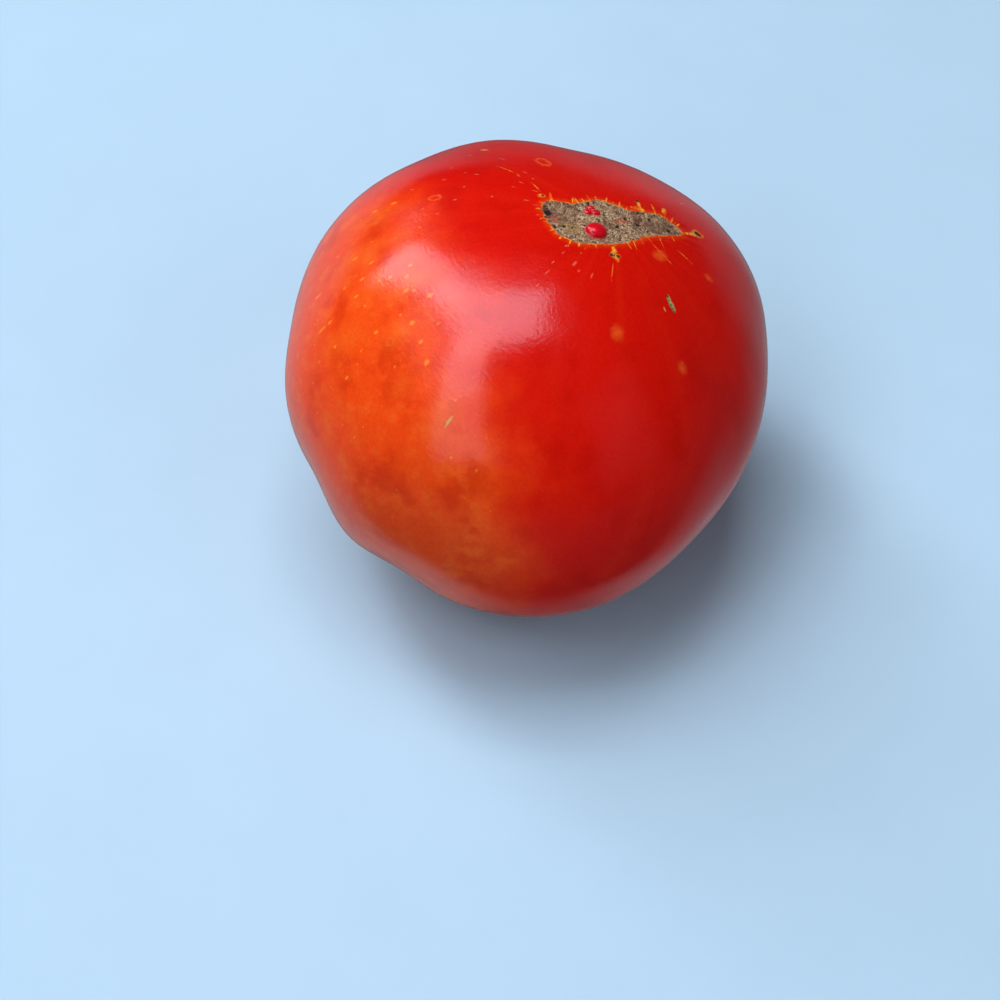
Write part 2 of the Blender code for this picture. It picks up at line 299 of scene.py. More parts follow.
def furrowDepth(polar, around):
    fromBlossom = np.degrees(polar)
    starts, full = fruitShape["furrowReach"]
    reach = ease((fromBlossom - starts) / (full - starts))
    starts, full = fruitShape["furrowShoulder"]
    shoulder = 1.0 + fruitShape["furrowShoulderGain"] * ease((fromBlossom - starts) / (full - starts))
    runOut = ease((fruitShape["furrowRunOut"] - fromBlossom) / fruitShape["hollowHalfWidth"])
    depth = np.zeros_like(around)
    for middle, deep, halfWidth in fruitShape["furrows"]:
        off = (around - math.radians(middle) + math.pi) % (2.0 * math.pi) - math.pi
        depth = depth + deep * np.exp(-((off / math.radians(halfWidth)) ** 2))
    return depth * reach * shoulder * runOut


def stemHollow(polar):
    fromStem = 180.0 - np.degrees(polar)
    funnel = np.exp(-((fromStem / fruitShape["hollowHalfWidth"]) ** fruitShape["hollowSteepness"]))
    return fruitShape["hollowDepth"] * funnel


def swayedWaves(around, count, sway):
    howFar, howOften = sway
    return np.cos(count * around + howFar * np.sin(howOften * around))


def scarEdge(around):
    angles, sizes = zip(*scarShape["outline"])
    edge = np.interp(np.degrees(around), angles, sizes, period=360.0)
    for count, height, start in scarShape["raggedness"]:
        edge = edge + height * np.sin(count * around + start)
    return edge


def scarPoint(size, around):
    stretch = 1.0 + scarShape["stretch"] * np.exp(-((size / scarShape["stretchFades"]) ** 2))
    return size * stretch * np.cos(around), size * np.sin(around)


def scarOutline(around):
    along, across = scarPoint(scarEdge(around), around)
    return along * perMetre, across * perMetre


def scarGap(along, across, share):
    # millimetres from the scar's outline, below zero inside it
    edgeAlong, edgeAcross = scarOutline(np.radians(np.arange(360.0)))
    near = np.hypot(along, across) < scarShape["gapMeasured"]
    gap = np.full(len(along), scarShape["gapFarOff"])
    off = np.hypot(along[near][:, None] - edgeAlong, across[near][:, None] - edgeAcross)
    gap[near] = off.min(axis=1)
    return np.where(share < 1.0, -gap, gap)


def ovalPlace(along, across, x, y, halfLong, halfWide, turn=None):
    # how many half lengths and half widths each place is from the oval's middle
    turn = math.atan2(y, x) if turn is None else math.radians(turn)
    u = (along - x) * math.cos(turn) + (across - y) * math.sin(turn)
    v = (across - y) * math.cos(turn) - (along - x) * math.sin(turn)
    return u / halfLong, v / halfWide


def ovalOff(along, across, x, y, halfLong, halfWide, turn=0.0):
    return np.hypot(*ovalPlace(along, across, x, y, halfLong, halfWide, turn))


markEdges = {
    "farOff": 9.0,                     # half sizes that a place with no oval near it counts as
    "fineMesh": 24.0,                  # millimetres from the blossom end to where the mesh gets coarse
    "clearances": (0.4, 1.1),          # millimetres kept clear round an oval in the fine and coarse mesh
    "guardSlope": 5.0,                 # half sizes added for each millimetre past that
    "limit": 20.0,
}


def nearestOval(along, across, spots):
    # each place as seen from the oval nearest to it, so that the mark's edge stays sharp between the
    # points of the mesh; the third number keeps the borders between two ovals' areas clear
    limit = markEdges["limit"]
    place = np.full((len(along), 3), markEdges["farOff"])
    nearest = np.full(len(along), np.inf)
    clear = np.where(np.hypot(along, across) < markEdges["fineMesh"], *markEdges["clearances"])
    for spot in spots:
        u, v = ovalPlace(along, across, *spot)
        off = np.hypot(u, v)
        away = np.hypot(along - spot[0], across - spot[1]) * (1.0 - 1.0 / np.maximum(off, 1.0))
        guard = markEdges["guardSlope"] * np.maximum(away - clear, 0.0)
        closer = off < nearest
        nearest = np.where(closer, off, nearest)
        place[closer] = np.clip(np.stack([u, v, guard], axis=1), -limit, limit)[closer]
    return place


def scarRelief(along, across, gap):
    relief = -scarShape["sink"] * ease(-gap / scarShape["brim"])
    pitted = gap < scarShape["pitMargin"]
    for x, y, radius, depth in scarShape["dips"] + scarShape["pits"]:
        relief = relief - depth * np.exp(-(ovalOff(along, across, x, y, radius, radius) ** 2)) * pitted
    for x, y, halfLong, halfWide, height in scarShape["beads"]:
        off = ovalOff(along, across, x, y, halfLong, halfWide)
        moat = np.exp(-(((off - scarShape["moatPlace"]) / scarShape["moatHalfWidth"]) ** 2))
        dome = np.maximum(1.0 - off * off, 0.0) ** scarShape["beadRoundness"]
        relief = relief + height * dome - scarShape["moat"] * moat
    for speck in scarShape["specks"]:
        relief = relief - scarShape["speckDepth"] * np.exp(-(ovalOff(along, across, *speck) ** 2))
    relief = relief - scarShape["slitDepth"] * np.exp(-(ovalOff(along, across, *scarShape["slit"]) ** 2))
    return relief / perMetre


def ringSize(ringShare, around):
    rings, scar, hollow = fruitShape["rings"], fruitShape["scarRings"], fruitShape["hollowRings"]
    edge, end = scarEdge(around), scarShape["arc"] * math.pi
    hollowWidth = math.radians(fruitShape["hollowRingsStart"] * fruitShape["hollowHalfWidth"])
    hollowStart = end - scarShape["arc"] * hollowWidth
    scarStep = ringShare * rings / scar
    skinStep = np.clip((ringShare * rings - scar) / (rings - hollow - scar), 0.0, 1.0)
    skinStep = skinStep ** fruitShape["ringCrowding"]
    hollowStep = np.maximum(ringShare * rings - (rings - hollow), 0.0) / hollow
    skin = edge * (1.0 - skinStep) + hollowStart * skinStep + (end - hollowStart) * hollowStep
    return np.where(scarStep < 1.0, edge * scarStep, skin)


def vertexLayer(mesh, name, kind, values):
    layer = mesh.attributes.new(name, kind, "POINT")
    values = np.ascontiguousarray(values, dtype=np.float32)
    layer.data.foreach_set("vector" if kind == "FLOAT_VECTOR" else "value", values.ravel())


bpy.ops.object.select_all(action="DESELECT")
bpy.ops.mesh.primitive_uv_sphere_add(
    segments=fruitShape["segments"], ring_count=fruitShape["rings"], radius=1.0, calc_uvs=False
)
fruit = bpy.context.active_object
fruit.name = fruit.data.name = "beefsteakTomato"
bpy.ops.object.modifier_add(type="SUBSURF")
finer = fruit.modifiers[-1]
finer.subdivision_type = "SIMPLE"
finer.levels = finer.render_levels = fruitShape["subdivisions"]
bpy.ops.object.modifier_apply(modifier=finer.name)
mesh = fruit.data
ball = np.empty(len(mesh.vertices) * 3, dtype=np.float32)
mesh.vertices.foreach_get("co", ball)
ball = ball.reshape(-1, 3).astype(float)

ringShare = np.arctan2(np.hypot(ball[:, 0], ball[:, 1]), ball[:, 2]) / math.pi
stepAngle = np.arctan2(ball[:, 1], ball[:, 0]) % (2.0 * math.pi)
size = ringSize(ringShare, stepAngle)
share = size / scarEdge(stepAngle)
along, across = scarPoint(size, stepAngle)
polar = np.minimum(np.hypot(along, across) / scarShape["arc"], math.pi)
around = np.arctan2(across, along) + math.radians(scarShape["turn"])
along, across = along * perMetre, across * perMetre
gap = scarGap(along, across, share)

direction = fruitDirection(polar, around)
resting = restingLobe(direction)
radius = bodyRadius(direction) + fruitShape["restingSwell"] * resting - stemHollow(polar)
radius = radius - furrowDepth(polar, around) * (1.0 - resting)
fromStem = 180.0 - np.degrees(polar)

puckers = swayedWaves(stepAngle, scarShape["puckerCount"], scarShape["puckerSway"])
puckers = puckers * np.exp(-gap / scarShape["puckerReach"]) * (gap > 0.0)
radius = radius + scarRelief(along, across, gap) + scarShape["puckers"] / perMetre * puckers

ridges = swayedWaves(around, stemEnd["ridgeCount"], stemEnd["ridgeSway"])
ridges = ridges * np.exp(-(((fromStem - stemEnd["ridgePlace"]) / stemEnd["ridgeHalfWidth"]) ** 2))
waveCount, waveSize = stemEnd["scarWaves"]
stemScarRadius = stemEnd["scarRadius"] + waveSize * np.cos(waveCount * around)
stemScar = ease((stemScarRadius - fromStem) / stemEnd["scarRim"])
cracks = swayedWaves(around, stemEnd["crackCount"], stemEnd["crackSway"])
cracks = np.abs(cracks) ** stemEnd["crackSharpness"]
cracks = cracks * np.clip(fromStem / stemEnd["cracksFull"], 0.0, 1.0)
plug = np.exp(-((fromStem / stemEnd["plugRadius"]) ** stemEnd["plugSteepness"]))
stemRelief = stemScar * (stemEnd["scarHeight"] * cracks + stemEnd["plugHeight"] * plug)
radius = radius + stemEnd["ridgeHeight"] * ridges + stemRelief

points = direction * radius[:, None]
low, high = points.min(axis=0), points.max(axis=0)
base = np.array([(low[0] + high[0]) / 2.0, (low[1] + high[1]) / 2.0, low[2] + fruitShape["flatSpotDepth"]])
points = points - base
points[:, 2] = np.maximum(points[:, 2], 0.0)      # the skin is pressed flat where the fruit rests
mesh.vertices.foreach_set("co", points.astype(np.float32).ravel())

for angle, reach, halfWidth in scarShape["spikes"]:
    here, step = math.radians(angle), scarShape["edgeStep"]
    edgeAlong, edgeAcross = scarOutline(np.array([here - step, here, here + step]))
    outwards = math.atan2(edgeAlong[0] - edgeAlong[2], edgeAcross[2] - edgeAcross[0])
    out = scarShape["spikeMiddle"] * reach
    x, y = edgeAlong[1] + out * math.cos(outwards), edgeAcross[1] + out * math.sin(outwards)
    halfLong = scarShape["spikeHalfLength"] * reach
    marks["thorns"].append((x, y, halfLong, halfWidth, math.degrees(outwards)))
for angle in scarShape["edgePits"]:
    x, y = (place * scarShape["edgePitPlace"] for place in scarOutline(math.radians(angle)))
    marks["edgePits"].append((x, y, *scarShape["edgePitRadius"], angle + 90))
for name, spots in marks.items():
    vertexLayer(mesh, name, "FLOAT_VECTOR", nearestOval(along, across, spots))
for name, spots in patches.items():
    cover = np.zeros(len(along))
    for spot in spots:
        cover = np.maximum(cover, np.exp(-(np.hypot(*ovalPlace(along, across, *spot)) ** 2)))
    vertexLayer(mesh, name, "FLOAT", cover)
vertexLayer(mesh, "scarGap", "FLOAT", gap)
vertexLayer(mesh, "meridian", "FLOAT_VECTOR", np.stack([np.cos(around), np.sin(around), polar], axis=1))
vertexLayer(mesh, "stemScar", "FLOAT", stemScar)
print("fruit shaped:", len(mesh.polygons), "faces")

# Two rounds of displacement: crumbling in the cork, and a slow waver over the skin
unevenness = {
    "corkGrain": {"scale": 0.0009, "depth": 3, "strength": 0.0005},
    "skinWaver": {"scale": 0.0160, "depth": 1, "strength": 0.0003},
    "corkFade": 0.4,                   # millimetres in from the scar's edge
    "beadMargin": (1.1, 0.1),          # shares of a bead's size that stay smooth, and then fade
    "restFade": 0.004,                 # metres up from the flat spot
    "weightSteps": 20,
}
beadCover = np.zeros(len(points))
margin, fade = unevenness["beadMargin"]
for x, y, halfLong, halfWide, height in scarShape["beads"]:
    beadOff = ovalOff(along, across, x, y, halfLong, halfWide)
    beadCover = np.maximum(beadCover, ease((margin - beadOff) / fade))
where = {
    "corkGrain": ease(-gap / unevenness["corkFade"]) * (1.0 - beadCover),
    "skinWaver": ease(points[:, 2] / unevenness["restFade"]),
}
for name, amount in where.items():
    clouds = bpy.data.textures.new(name, "CLOUDS")
    clouds.noise_scale, clouds.noise_depth = unevenness[name]["scale"], unevenness[name]["depth"]
    group = fruit.vertex_groups.new(name=name)
    weightSteps = unevenness["weightSteps"]
    steps = np.round(amount * weightSteps)
    for step in range(1, weightSteps + 1):
        group.add(np.nonzero(steps == step)[0].tolist(), step / weightSteps, "REPLACE")
    bpy.ops.object.modifier_add(type="DISPLACE")
    push = fruit.modifiers[-1]
    push.texture, push.texture_coords = clouds, "LOCAL"
    push.strength, push.vertex_group = unevenness[name]["strength"], name
    bpy.ops.object.modifier_apply(modifier=push.name)
bpy.ops.object.shade_smooth()

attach(fruit, "root")
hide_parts("tomato_fruit")
print("cork and skin made uneven")


def colour(hexCode):
    parts = [int(hexCode[k:k + 2], 16) / 255.0 for k in (1, 3, 5)]
    return tuple(c / 12.92 if c <= 0.04045 else ((c + 0.055) / 1.055) ** 2.4 for c in parts) + (1.0,)


def addNode(tree, kind, settings=None, links=None, out=0, stops=()):
    node = tree.nodes.new("ShaderNode" + kind)
    for name, value in (settings or {}).items():
        setattr(node, name, value)
    for socket, value in (links or {}).items():
        if isinstance(value, bpy.types.NodeSocket):
            tree.links.new(value, node.inputs[socket])
        else:
            node.inputs[socket].default_value = value
    for k, (position, shade) in enumerate(stops):
        stop = node.color_ramp.elements[k] if k < 2 else node.color_ramp.elements.new(position)
        stop.position = position
        stop.color = colour(shade) if isinstance(shade, str) else (shade, shade, shade, 1.0)
    return node.outputs[out]


def newMaterial(name):
    material = bpy.data.materials.new(name)
    material.use_nodes = True
    return material, material.node_tree, material.node_tree.nodes["Principled BSDF"]


smooth = {"interpolation_type": "SMOOTHSTEP"}
add, subtract, multiply, larger = (
    {"operation": word} for word in ("ADD", "SUBTRACT", "MULTIPLY", "MAXIMUM")
)
multiplyAdd = {"operation": "MULTIPLY_ADD"}
fromMin, fromMax, toMin, toMax = "From Min", "From Max", "To Min", "To Max"      # Map Range sockets


def markMask(tree, name, uneven=None, softness=None, rimWidth=None):
    # strength inside the named marks and zero between them; with a rim width, only on their rims
    usualSoftness, strength = markLook[name]
    softness = softness or usualSoftness
    place = addNode(tree, "Attribute", {"attribute_name": name}, out="Vector")
    if uneven:
        place = addNode(tree, "VectorMath", add, {0: place, 1: uneven})
    off = addNode(tree, "VectorMath", {"operation": "LENGTH"}, {0: place}, "Value")
    limit = rimWidth or 1.0
    if rimWidth:
        off = addNode(tree, "Math", subtract, {0: off, 1: 1.0})
        off = addNode(tree, "Math", {"operation": "ABSOLUTE"}, {0: off})
    return addNode(tree, "MapRange", smooth, {
        "Value": off, fromMin: limit + softness, fromMax: limit - softness, toMax: strength,
    })


def paintOver(tree, under, coats):
    # each coat is a colour and how much of it covers what is under it; sockets 6 and 7 are the colours
    for over, amount in coats:
        over = colour(over) if isinstance(over, str) else over
        under = addNode(tree, "Mix", {"data_type": "RGBA"}, {0: amount, 6: under, 7: over}, 2)
    return under


girth, skinLength = 52.0, 45.0    # millimetres of skin for one unit round and one radian down the meridians

# Millimetres across the clouds of each pattern, or round the fruit and down the meridians. The flesh's
# grain is a third of a millimetre and the wrinkles half of one, and both are drawn coarser to show.
patternSize = {
    "mottle": 13.0, "deepRed": 9.0, "softPatches": 4.5, "stripes": (7.0, 60.0),
    "grain": 0.6, "wrinkles": (1.7, 0.75),
    "scarPatches": 2.5, "fineClouds": 1.2, "markEdge": 0.8, "scarEdge": 0.7, "fibre": 0.5,
}
fleckKinds = [      # millimetres round and down, share of cells without a fleck, size, strength
    (1.3, 2.2, 0.50, 0.22, 0.40), (3.4, 6.5, 0.60, 0.15, 0.45),
]

# How soft the edge of each kind of mark is, in half sizes, and how strong it is
markLook = {
    "goldFlecks": (0.60, 0.60), "faintFlecks": (0.60, 0.45), "hairlines": (0.60, 0.45),
    "ringSpots": (0.25, 0.50), "haloSpots": (0.95, 0.50),
    "paleDashes": (0.60, 0.38), "faintDashes": (0.60, 0.28), "smears": (0.40, 0.85),
    "slit": (0.12, 1.0), "slitGlint": (0.40, 0.80), "slitSpots": (0.35, 0.80),
    "thorns": (0.35, 0.95), "halos": (0.35, 0.95), "specks": (0.30, 0.95),
    "olive": (0.70, 0.75), "redFlesh": (0.35, 0.85), "edgePits": (0.50, 0.80), "pits": (0.40, 0.95),
    "beads": (0.06, 1.0), "lobeGlint": (0.50, 0.60),
}
ringWidth = 0.25                  # of a ring spot's rim, in half sizes
beadShading = 0.25                # softness of the painted shade rim inside a bead's edge

skinLook = {
    "blushTowards": (-0.925, -0.376, 0.054),
    "blushStart": 0.012, "blushFull": 0.038,     # metres from the fruit's middle, that way
    "blushSway": 0.024,                          # metres that the mottle moves its edge
    "blushStops": [
        (0.0, "#C90E03"), (0.22, "#CF1504"), (0.42, "#D92706"), (0.66, "#E53D0A"), (0.84, "#EA470E"),
        (1.0, "#E7430D"),
    ],
    "goldenPatch": "#EC701E", "deepRed": "#B40902", "stripe": "#DA2D0C",
    "gold": "#F6902A", "paleDash": "#E8866A",
    "fringe": ["#E2540F", "#E8A02C"],
    "cork": ["#2A1B10", "#906E4C", "#CFAA80"],
    "brownCork": "#5A3224", "olive": "#8E6C22", "redFlesh": "#C02C18",
    # near black painted shade for the pits and edge pits
    "pitShade": "#120B08",
    # the beads' own red, and a deeper red painted as shade round their edges
    "bead": "#C80C18", "beadShadeRim": "#7C0A10", "beadGlint": "#D87A74",
    "speck": "#2E2018",
    "slit": "#8A7A42", "slitDark": "#332E18", "slitGoldAndGlint": "#B89A50",
    "ringSpot": "#E8601E",
    "shoulder": "#BE5418",
    "stemCork": ["#4A3A22", "#A08C5C"],
    "roughness": 0.175,
    "roughnessSpan": (-0.02, 0.03),       # it varies this much, in soft patches
    "beadRoughness": 0.09,
    "corkRoughness": 0.90,
    "ior": 1.36,                          # of the wax on the skin
    "wrinkle": 0.038, "fibre": 0.15,      # relief heights, in millimetres
}

# Ripe tomato skin: a smooth waxy cuticle over red flesh, so a broad soft gloss with leathery wrinkles in
# it, orange where it ripened last. The blossom scar and the stem scar are dry cork, dull and fibrous.
skin, tree, shader = newMaterial("ripeTomatoSkin")
coords = addNode(tree, "TexCoord", out="Object")
meridian = addNode(tree, "Attribute", {"attribute_name": "meridian"}, out="Vector")
edgeGap = addNode(tree, "Attribute", {"attribute_name": "scarGap"}, out="Fac")
stem = addNode(tree, "Attribute", {"attribute_name": "stemScar"}, out="Fac")
fromBlossom = addNode(tree, "SeparateXYZ", None, {0: meridian}, "Z")


def cloudsOf(pattern, detail, rough=0.5):
    # links and settings for clouds that are as wide in every direction
    scale = perMetre / patternSize[pattern]
    return {"Vector": coords, "Scale": scale, "Detail": detail, "Roughness": rough}


def skinCells(roundSize, downSize):
    # skin coordinates in which a cell is this many millimetres round the fruit and down its meridians
    return {"Vector": meridian, "Scale": (girth / roundSize, girth / roundSize, skinLength / downSize)}


# blush on the left, in patches, with soft stripes down the meridians
mottle = addNode(tree, "TexNoise", None, cloudsOf("mottle", 4.0, 0.55))
towards = addNode(tree, "VectorMath", {"operation": "DOT_PRODUCT"}, {
    0: coords, 1: skinLook["blushTowards"],
}, "Value")
lean = addNode(tree, "Math", multiplyAdd, {0: mottle, 1: skinLook["blushSway"], 2: towards})
middleSway = skinLook["blushSway"] / 2.0
blush = addNode(tree, "MapRange", None, {
    "Value": lean,
    fromMin: skinLook["blushStart"] + middleSway, fromMax: skinLook["blushFull"] + middleSway,
})
skinColour = addNode(tree, "ValToRGB", None, {0: blush}, stops=skinLook["blushStops"])
stripePlace = addNode(tree, "Mapping", None, skinCells(*patternSize["stripes"]))
stripes = addNode(tree, "TexNoise", None, {"Vector": stripePlace, "Scale": 1.0, "Detail": 3.0})
stripeAmount = addNode(tree, "MapRange", smooth, {
    "Value": stripes, fromMin: 0.42, fromMax: 0.80, toMax: 0.18,
})
deepPlace = addNode(tree, "TexNoise", None, cloudsOf("deepRed", 3.0))
deepAmount = addNode(tree, "MapRange", smooth, {
    "Value": deepPlace, fromMin: 0.50, fromMax: 0.28, toMax: 0.40,
})
patchPlace = addNode(tree, "TexNoise", None, cloudsOf("softPatches", 3.0, 0.6))
patchAmount = addNode(tree, "Math", multiply, {
    0: addNode(tree, "MapRange", smooth, {"Value": patchPlace, fromMin: 0.46, fromMax: 0.84, toMax: 0.45}),
    1: addNode(tree, "MapRange", smooth, {"Value": blush, fromMin: 0.45, fromMax: 0.90}),
})
goldPatches = addNode(tree, "Math", multiply, {
    0: addNode(tree, "Attribute", {"attribute_name": "goldPatches"}, out="Fac"), 1: 0.25,
})

# fine grain of the flesh's red cells showing through
grain = addNode(tree, "TexNoise", None, cloudsOf("grain", 2.0, 0.7))
grainShade = addNode(tree, "MapRange", None, {
    "Value": grain, fromMin: 0.25, fromMax: 0.75, toMin: 0.90, toMax: 1.10,
})

# golden flecks lie along the meridians, many where the skin is orange and few where it is red
fleckAmount = 0.0
for roundSize, downSize, scarcity, reach, strength in fleckKinds:
    place = addNode(tree, "Mapping", None, skinCells(roundSize, downSize))
    cellDistance = addNode(tree, "TexVoronoi", None, {"Vector": place, "Scale": 1.0})
    pick = addNode(tree, "SeparateColor", None, {0: cellDistance.node.outputs["Color"]})
    fleckSize = addNode(tree, "MapRange", None, {"Value": pick, fromMin: scarcity, toMax: reach})
    inside = addNode(tree, "Math", subtract, {0: fleckSize, 1: cellDistance})
    fleck = addNode(tree, "MapRange", smooth, {
        "Value": inside, fromMin: -0.02, fromMax: 0.14, toMax: strength,
    })
    fleckAmount = addNode(tree, "Math", larger, {0: fleck, 1: fleckAmount})
fleckHome = addNode(tree, "MapRange", smooth, {
    "Value": blush, fromMin: 0.25, fromMax: 0.80, toMin: 0.05,
})
fleckAmount = addNode(tree, "Math", multiply, {0: fleckAmount, 1: fleckHome})

# marks drawn where they are, their edges made uneven
edgeSway = addNode(tree, "TexNoise", None, cloudsOf("markEdge", 2.0, 0.6), "Color")
uneven = addNode(tree, "VectorMath", multiplyAdd, {0: edgeSway, 1: (1.2, 1.2, 0.0), 2: (-0.6, -0.6, 0.0)})
blotched = addNode(tree, "VectorMath", {"operation": "SCALE"}, {0: uneven, "Scale": 1.3})
fineClouds = addNode(tree, "TexNoise", None, cloudsOf("fineClouds", 2.0))
breaks = addNode(tree, "MapRange", smooth, {"Value": fineClouds, fromMin: 0.40, fromMax: 0.58})
hairlines = addNode(tree, "Math", multiply, {0: markMask(tree, "hairlines", uneven), 1: breaks})

skinColour = paintOver(tree, skinColour, [
    (skinLook["stripe"], stripeAmount),
    (skinLook["deepRed"], deepAmount),
    (skinLook["goldenPatch"], patchAmount),
    (skinLook["goldenPatch"], goldPatches),
    (skinLook["gold"], fleckAmount),
    (skinLook["gold"], markMask(tree, "goldFlecks", uneven)),
    (skinLook["gold"], markMask(tree, "faintFlecks", uneven)),
    (skinLook["ringSpot"], markMask(tree, "ringSpots", uneven, rimWidth=ringWidth)),
    (skinLook["ringSpot"], markMask(tree, "haloSpots", blotched)),
    (skinLook["paleDash"], markMask(tree, "paleDashes", uneven)),
    (skinLook["paleDash"], markMask(tree, "faintDashes", uneven)),
    (skinLook["gold"], hairlines),
    (skinLook["slitGoldAndGlint"], markMask(tree, "smears", uneven)),
])
skinColour = addNode(tree, "VectorMath", {"operation": "SCALE"}, {0: skinColour, "Scale": grainShade})

# the small corky slit: an olive spindle with a painted highlight in pale gold along its middle, and a few
# dark spots
slitMask = markMask(tree, "slit", uneven)
skinColour = paintOver(tree, skinColour, [
    (skinLook["slit"], slitMask),
    # painted highlight: a pale gold glint along the slit's middle
    (skinLook["slitGoldAndGlint"], markMask(tree, "slitGlint")),
    (skinLook["slitDark"], markMask(tree, "slitSpots")),
])

# yellow and orange fringe round the scar, with thorns of it running out into the skin
thornMask = markMask(tree, "thorns", uneven)
edgeClouds = addNode(tree, "TexNoise", None, cloudsOf("scarEdge", 3.0, 0.6))
unevenGap = addNode(tree, "Math", multiplyAdd, {0: edgeClouds, 1: 1.1, 2: edgeGap})
fringeBand = addNode(tree, "MapRange", smooth, {
    "Value": unevenGap, fromMin: 0.92, fromMax: 0.58, toMax: 0.85,
})
fringeGlow = addNode(tree, "MapRange", smooth, {
    "Value": unevenGap, fromMin: 2.2, fromMax: 0.5, toMax: 0.30,
})
scarPatches = addNode(tree, "TexNoise", None, cloudsOf("scarPatches", 2.0))
fringePatches = addNode(tree, "MapRange", smooth, {
    "Value": scarPatches, fromMin: 0.40, fromMax: 0.58, toMin: 0.20,
})
halos = markMask(tree, "halos", uneven)
yellow = addNode(tree, "MapRange", smooth, {"Value": fineClouds, fromMin: 0.42, fromMax: 0.60})
fringeColour = paintOver(tree, colour(skinLook["fringe"][0]), [(skinLook["fringe"][1], yellow)])
fringeAmount = addNode(tree, "Math", larger, {
    0: addNode(tree, "Math", multiply, {0: fringeBand, 1: fringePatches}),
    1: addNode(tree, "Math", larger, {0: thornMask, 1: halos}),
})

# cork of the blossom scar: matted dry fibres, pale on their crests and dark between
fibre = addNode(tree, "TexNoise", None, {**cloudsOf("fibre", 3.0, 0.65), "Distortion": 1.2})
corkColour = addNode(tree, "ValToRGB", None, {0: fibre}, stops=zip((0.36, 0.50, 0.64), skinLook["cork"]))
corkMask = addNode(tree, "MapRange", smooth, {"Value": unevenGap, fromMin: 0.62, fromMax: 0.42})
brownPatches = addNode(tree, "MapRange", smooth, {
    "Value": scarPatches, fromMin: 0.48, fromMax: 0.70, toMax: 0.60,
})
beadMask = markMask(tree, "beads")
brownCork = addNode(tree, "Math", multiply, {
    0: addNode(tree, "Attribute", {"attribute_name": "brownCork"}, out="Fac"), 1: 0.75,
})
oliveMarks = addNode(tree, "Math", multiply, {0: markMask(tree, "olive", blotched), 1: breaks})
corkColour = paintOver(tree, corkColour, [
    (skinLook["brownCork"], brownPatches),
    (skinLook["brownCork"], brownCork),
    (skinLook["olive"], oliveMarks),
    (skinLook["redFlesh"], markMask(tree, "redFlesh", uneven)),
    # painted shade: the edge pits and the pits are coloured near black, as shade falls in holes
    (skinLook["pitShade"], markMask(tree, "edgePits", uneven)),
    (skinLook["pitShade"], markMask(tree, "pits", uneven)),
    # painted shade: each bead darkens to a deeper red at its edge, where its dome turns down into the moat
    (skinLook["beadShadeRim"], beadMask),
    (skinLook["bead"], markMask(tree, "beads", softness=beadShading)),
    (skinLook["beadGlint"], markMask(tree, "lobeGlint")),
])

# stem end: dull orange-green shoulder round a corky scar
shoulder = addNode(tree, "MapRange", smooth, {
    "Value": fromBlossom, fromMin: 2.45, fromMax: 2.95, toMax: 0.70,
})
stemColour = addNode(tree, "ValToRGB", None, {0: fibre}, stops=zip((0.36, 0.62), skinLook["stemCork"]))
speckMask = markMask(tree, "specks", uneven)
skinColour = paintOver(tree, skinColour, [
    (skinLook["fringe"][0], fringeGlow),
    (fringeColour, fringeAmount),
    (skinLook["speck"], speckMask),
    (corkColour, corkMask),
    (skinLook["shoulder"], shoulder),
    (stemColour, stem),
])

# cork is dull, and the beads are wetter than the skin
offBeads = addNode(tree, "Math", subtract, {0: 1.0, 1: beadMask})
scarDull = addNode(tree, "Math", multiply, {0: corkMask, 1: offBeads})
dull = addNode(tree, "Math", larger, {
    0: addNode(tree, "Math", larger, {0: scarDull, 1: stem}),
    1: addNode(tree, "Math", larger, {0: speckMask, 1: slitMask}),
})
smoothest, roughest = (skinLook["roughness"] + span for span in skinLook["roughnessSpan"])
skinRough = addNode(tree, "MapRange", None, {
    "Value": patchPlace, fromMin: 0.3, fromMax: 0.7, toMin: smoothest, toMax: roughest,
})
skinRough = addNode(tree, "MapRange", None, {
    "Value": beadMask, toMin: skinRough, toMax: skinLook["beadRoughness"],
})
roughness = addNode(tree, "MapRange", None, {
    "Value": dull, toMin: skinRough, toMax: skinLook["corkRoughness"],
})
tree.links.new(skinColour, shader.inputs["Base Color"])
tree.links.new(roughness, shader.inputs["Roughness"])
shader.inputs["IOR"].default_value = skinLook["ior"]

# relief too fine for the mesh: leathery wrinkles that run round the fruit, and fibres in the cork
wrinklePlace = addNode(tree, "Mapping", None, skinCells(*patternSize["wrinkles"]))
wrinkles = addNode(tree, "TexNoise", None, {
    "Vector": wrinklePlace, "Scale": 1.0, "Detail": 2.0, "Distortion": 0.6,
})
skinRelief = addNode(tree, "Math", multiply, {0: wrinkles, 1: skinLook["wrinkle"]})
dryCork = addNode(tree, "MapRange", None, {"Value": edgeGap, fromMin: 0.1, fromMax: -0.3})
dryCork = addNode(tree, "Math", multiply, {0: dryCork, 1: offBeads})
dryCork = addNode(tree, "Math", larger, {0: dryCork, 1: stem})
fibreHeight = addNode(tree, "Math", multiply, {0: fibre, 1: skinLook["fibre"]})
fibreHeight = addNode(tree, "Math", multiply, {0: fibreHeight, 1: dryCork})
relief = addNode(tree, "Math", add, {0: skinRelief, 1: fibreHeight})
normal = addNode(tree, "Bump", None, {"Distance": 1.0 / perMetre, "Height": relief})
tree.links.new(normal, shader.inputs["Normal"])
mesh.materials.append(skin)
print("skin material made")


